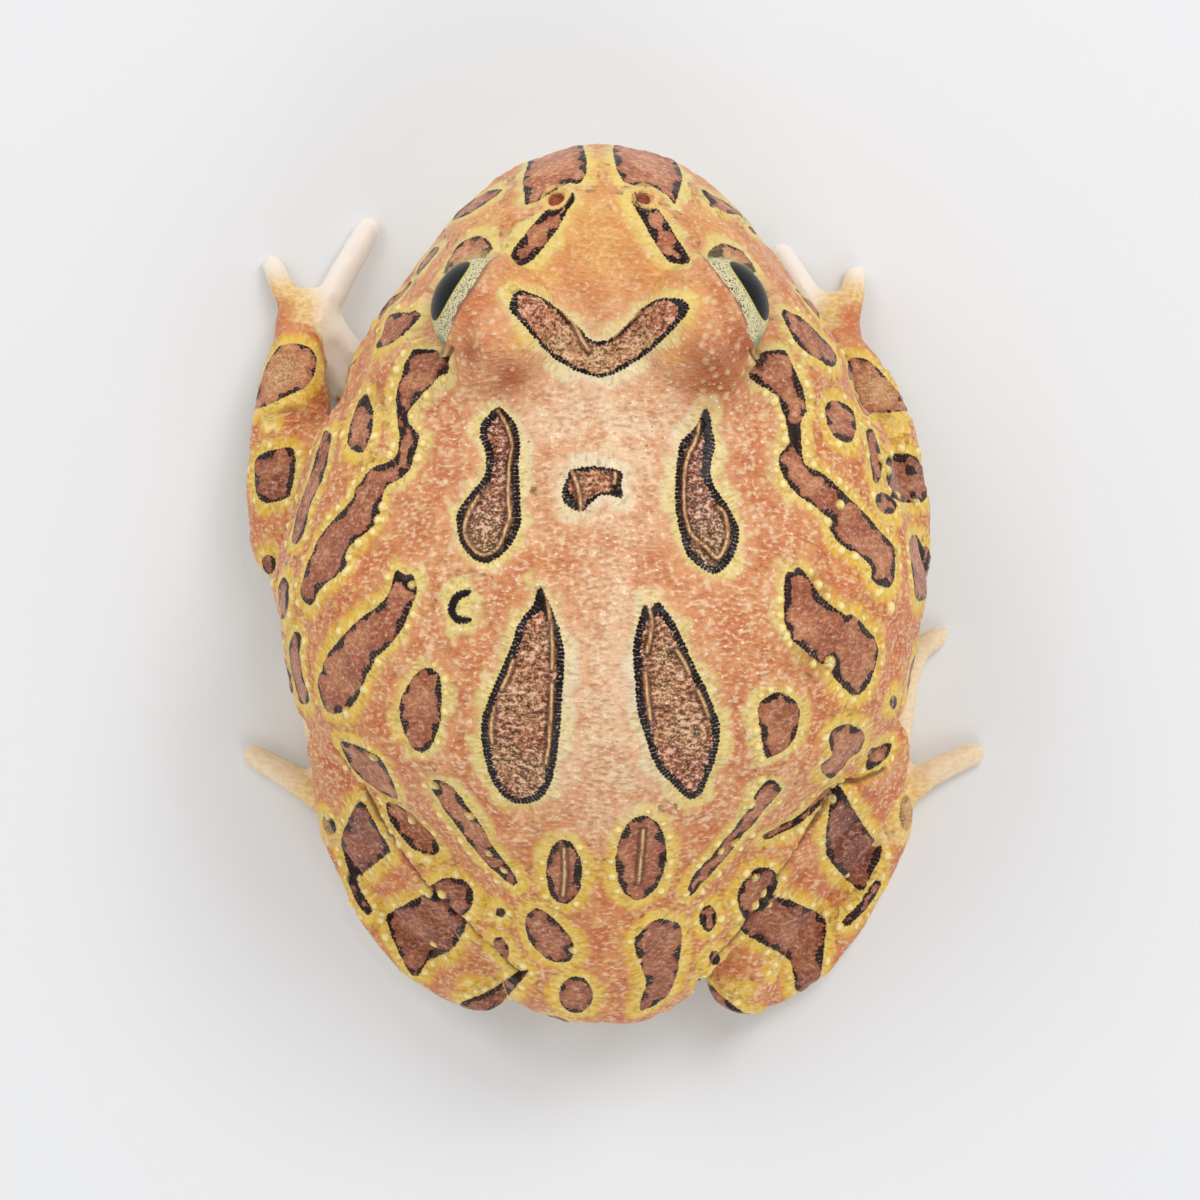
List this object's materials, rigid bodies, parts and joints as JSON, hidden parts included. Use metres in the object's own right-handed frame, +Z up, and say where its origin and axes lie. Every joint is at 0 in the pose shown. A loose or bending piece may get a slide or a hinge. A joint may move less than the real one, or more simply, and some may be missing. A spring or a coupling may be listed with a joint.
{
  "type": "argentine horned frog model",
  "caption": "Life-size still model of an argentine horned frog sitting flat with folded legs and spread hands, resting on its belly.",
  "frame": {"origin": "middle of the box around the whole frog, at the level of the floor under its belly, hands and feet", "axes": "the frog faces -Y, +X is its own left side, +Z is up from the floor"},
  "size_m": [0.0866, 0.101, 0.0479],
  "materials": {
    "skin": "moist satin, orange with brown blotches and yellow rims",
    "eye": "wet gloss, dark pupil in a pale yellow iris",
    "cornea": "clear wet gloss"
  },
  "bodies": {
    "root": {"head": "skin", "lower_jaw": "skin", "trunk": "skin", "left_upper_arm": "skin", "left_forearm": "skin", "left_hand": "skin", "left_thigh": "skin", "left_shank": "skin", "left_foot": "skin", "left_eyelid": "skin", "left_eye": "eye", "right_upper_arm": "skin", "right_forearm": "skin", "right_hand": "skin", "right_thigh": "skin", "right_shank": "skin", "right_foot": "skin", "right_eyelid": "skin", "right_eye": "eye"}
  },
  "joints": []
}
